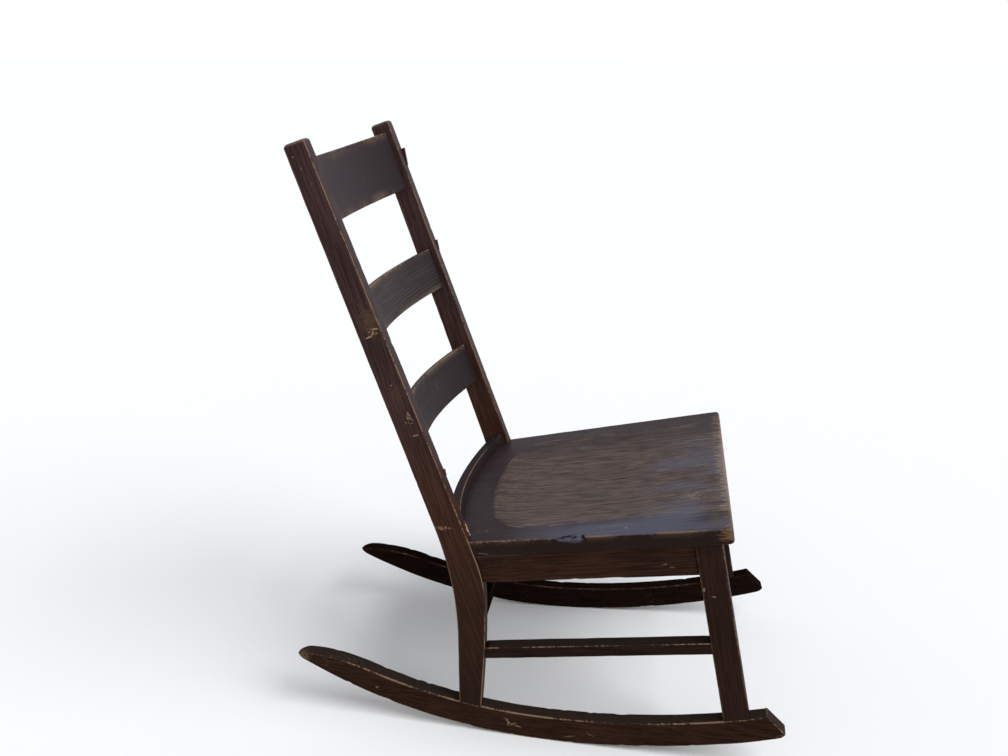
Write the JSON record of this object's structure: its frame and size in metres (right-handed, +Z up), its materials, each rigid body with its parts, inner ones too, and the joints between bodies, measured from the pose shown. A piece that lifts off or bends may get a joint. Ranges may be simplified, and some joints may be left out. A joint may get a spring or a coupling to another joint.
{
  "type": "armless ladder-back rocking chair",
  "caption": "Armless ladder-back rocking chair in dark stained oak, with bent slats, a scooped plank seat, raked front legs and long curved rockers.",
  "frame": {"origin": "on the floor, under the middle of the chair's box", "axes": "+X to the chair's left side as seen by a sitter, +Y from its front to its back, +Z up"},
  "size_m": [0.4538, 0.7414, 0.882],
  "materials": {
    "stained_oak_frame": "dark brown stain under old worn varnish, bare along the edges",
    "stained_oak_back": "dark brown stain with a grey bloom, satin",
    "stained_oak_seat": "dark stain worn matt in the scoop, satin at the rim",
    "bare_oak_blocks": "unfinished, aged",
    "steel_screws": "dull, slotted heads"
  },
  "bodies": {
    "root": {"rocker_left": "stained_oak_frame", "front_leg_left": "stained_oak_frame", "rear_post_left": "stained_oak_frame", "side_rail_left": "stained_oak_frame", "side_stretcher_left": "stained_oak_frame", "rocker_right": "stained_oak_frame", "front_leg_right": "stained_oak_frame", "rear_post_right": "stained_oak_frame", "side_rail_right": "stained_oak_frame", "side_stretcher_right": "stained_oak_frame", "front_rail": "stained_oak_frame", "front_stretcher": "stained_oak_frame", "rear_stretcher": "stained_oak_frame", "crest_slat": "stained_oak_back", "middle_slat": "stained_oak_back", "lower_slat": "stained_oak_back", "back_rail": "stained_oak_back", "seat": "stained_oak_seat", "corner_block_front_left": "bare_oak_blocks", "corner_block_front_right": "bare_oak_blocks", "corner_block_rear_left": "bare_oak_blocks", "corner_block_rear_right": "bare_oak_blocks", "corner_screw_front_left": "steel_screws", "seat_screw_front_left": "steel_screws", "rocker_screw_front_left": "steel_screws", "corner_screw_front_right": "steel_screws", "seat_screw_front_right": "steel_screws", "rocker_screw_front_right": "steel_screws", "corner_screw_rear_left": "steel_screws", "seat_screw_rear_left": "steel_screws", "rocker_screw_rear_left": "steel_screws", "corner_screw_rear_right": "steel_screws", "seat_screw_rear_right": "steel_screws", "rocker_screw_rear_right": "steel_screws"}
  },
  "joints": []
}
